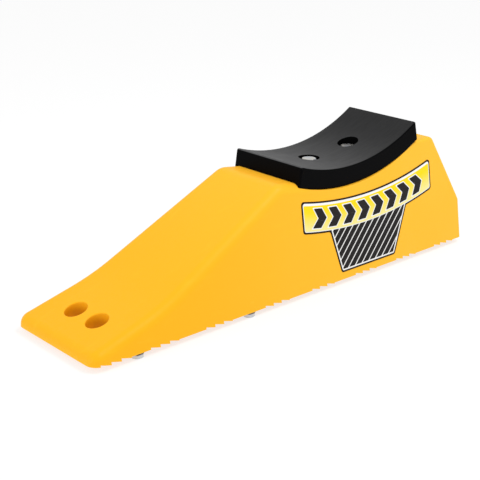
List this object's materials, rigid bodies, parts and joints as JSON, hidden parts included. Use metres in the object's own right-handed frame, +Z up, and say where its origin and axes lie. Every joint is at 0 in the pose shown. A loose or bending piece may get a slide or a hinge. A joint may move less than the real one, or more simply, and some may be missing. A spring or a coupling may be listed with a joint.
{
  "type": "tyre changing ramp",
  "caption": "Plastic trailer tyre-changing ramp with a low nose, a sloped climb and a bolted black cradle block.",
  "frame": {"origin": "centre of the bounding box's bottom, level with the undersides of the grip bolt heads", "axes": "+X from the nose up to the high end, +Y to the left side, +Z up"},
  "size_m": [0.6096, 0.155, 0.1798],
  "materials": {
    "ramp_plastic": "satin moulded plastic",
    "saddle_plastic": "satin moulded plastic",
    "zinc_steel": "bright zinc plating",
    "insert_brass": "machined",
    "label_vinyl": "printed vinyl"
  },
  "bodies": {
    "root": {"ramp_body": "ramp_plastic", "saddle": "saddle_plastic", "saddle_bolt_front": "zinc_steel", "saddle_bolt_rear": "zinc_steel", "bolt_washer_front": "zinc_steel", "bolt_washer_rear": "zinc_steel", "nut_washer_front": "zinc_steel", "nut_washer_rear": "zinc_steel", "lock_nut_front": "zinc_steel", "lock_nut_rear": "zinc_steel", "grip_bolt_front_right": "zinc_steel", "grip_bolt_front_left": "zinc_steel", "grip_bolt_rear_right": "zinc_steel", "grip_bolt_rear_left": "zinc_steel", "grip_washer_front_right": "zinc_steel", "grip_washer_front_left": "zinc_steel", "grip_washer_rear_right": "zinc_steel", "grip_washer_rear_left": "zinc_steel", "grip_insert_front_right": "insert_brass", "grip_insert_front_left": "insert_brass", "grip_insert_rear_right": "insert_brass", "grip_insert_rear_left": "insert_brass", "label_right": "label_vinyl", "label_left": "label_vinyl"}
  },
  "joints": []
}
